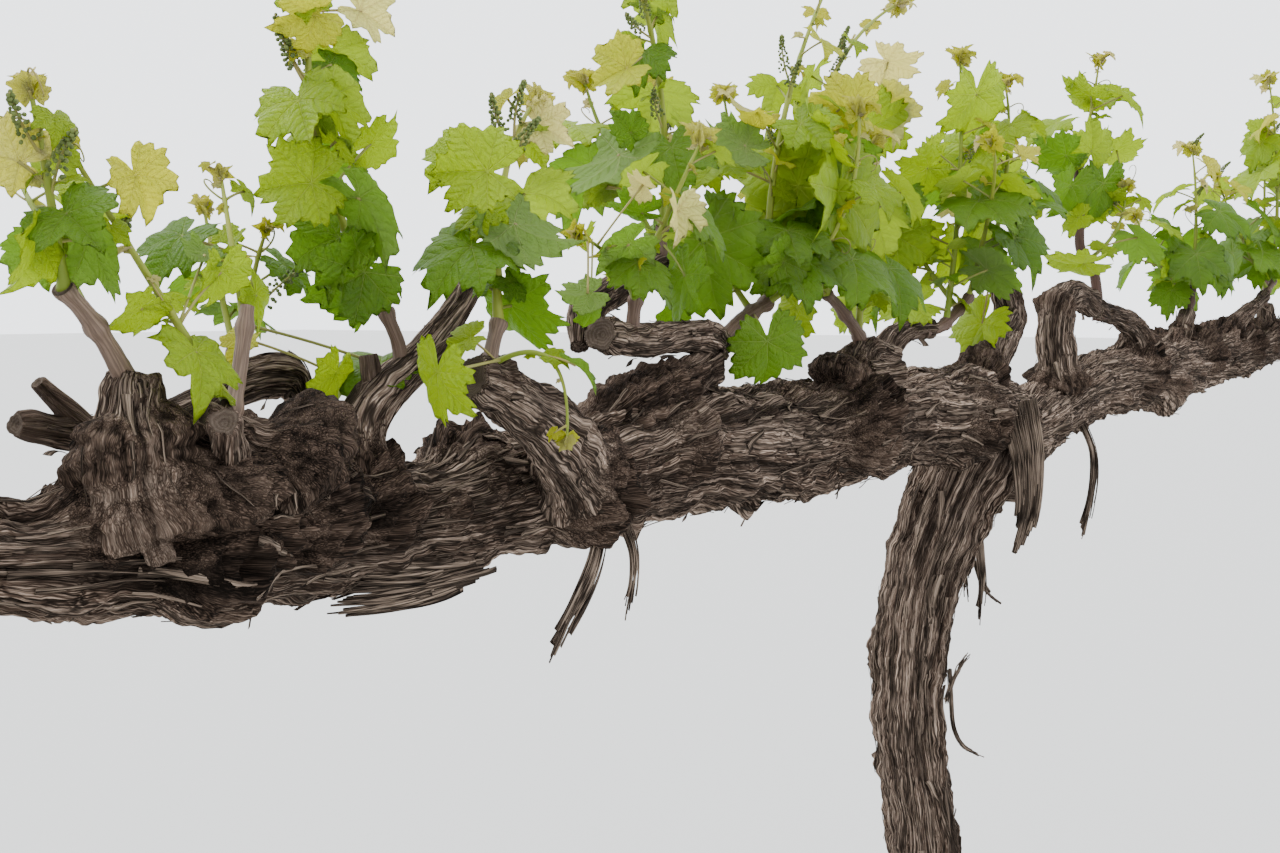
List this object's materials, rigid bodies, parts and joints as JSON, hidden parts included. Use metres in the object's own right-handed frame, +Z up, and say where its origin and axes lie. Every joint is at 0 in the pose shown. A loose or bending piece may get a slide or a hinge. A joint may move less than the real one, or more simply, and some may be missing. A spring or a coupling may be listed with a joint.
{
  "type": "grapevine",
  "caption": "Old spur-pruned grapevine in spring: leaning gnarled trunk, two long arms along the row, pruned spurs, canes and young leafy shoots.",
  "frame": {"origin": "middle of the flat cut under the trunk, at ground level, on the mount named ground", "axes": "+Z up; +X along the row, from the left arm's end to the right arm's end; +Y to the back, away from the side that the picture shows"},
  "size_m": [3.025, 0.3236, 1.5057],
  "materials": {
    "bark": "rough, fibrous grey-brown bark with dark crevices",
    "bark_strip": "loose dry fibrous bark, paler at the edges",
    "foliage": "thin young leaves, matt to slightly shiny, on green shoots and brown canes"
  },
  "bodies": {
    "root": {"bark_slab": "bark_strip", "bark_strip_arm_1": "bark_strip", "bark_strip_arm_2": "bark_strip", "bark_strip_arm_3": "bark_strip", "bark_strip_arm_4": "bark_strip", "bark_strip_trunk": "bark_strip", "foliage_head": "foliage", "foliage_left_1": "foliage", "foliage_left_2": "foliage", "foliage_left_3_back": "foliage", "foliage_left_3_end": "foliage", "foliage_left_3_front": "foliage", "foliage_left_4": "foliage", "foliage_left_5": "foliage", "foliage_left_6": "foliage", "foliage_left_7": "foliage", "foliage_left_8": "foliage", "foliage_left_end": "foliage", "foliage_right_1": "foliage", "foliage_right_3": "foliage", "foliage_right_4": "foliage", "foliage_right_5": "foliage", "foliage_right_end": "foliage", "head_spur": "bark", "left_arm": "bark", "left_spur_1": "bark", "left_spur_2": "bark", "left_spur_3_back": "bark", "left_spur_3_lower": "bark", "left_spur_3_upper": "bark", "left_spur_4": "bark", "left_spur_5": "bark", "left_spur_6_arch": "bark", "left_spur_6_riser": "bark", "left_spur_7": "bark", "left_spur_8": "bark", "left_spur_9": "bark", "right_arm": "bark", "right_spur_1": "bark", "right_spur_2": "bark", "right_spur_3": "bark", "right_spur_4": "bark", "right_spur_5": "bark", "trunk": "bark"}
  },
  "joints": []
}
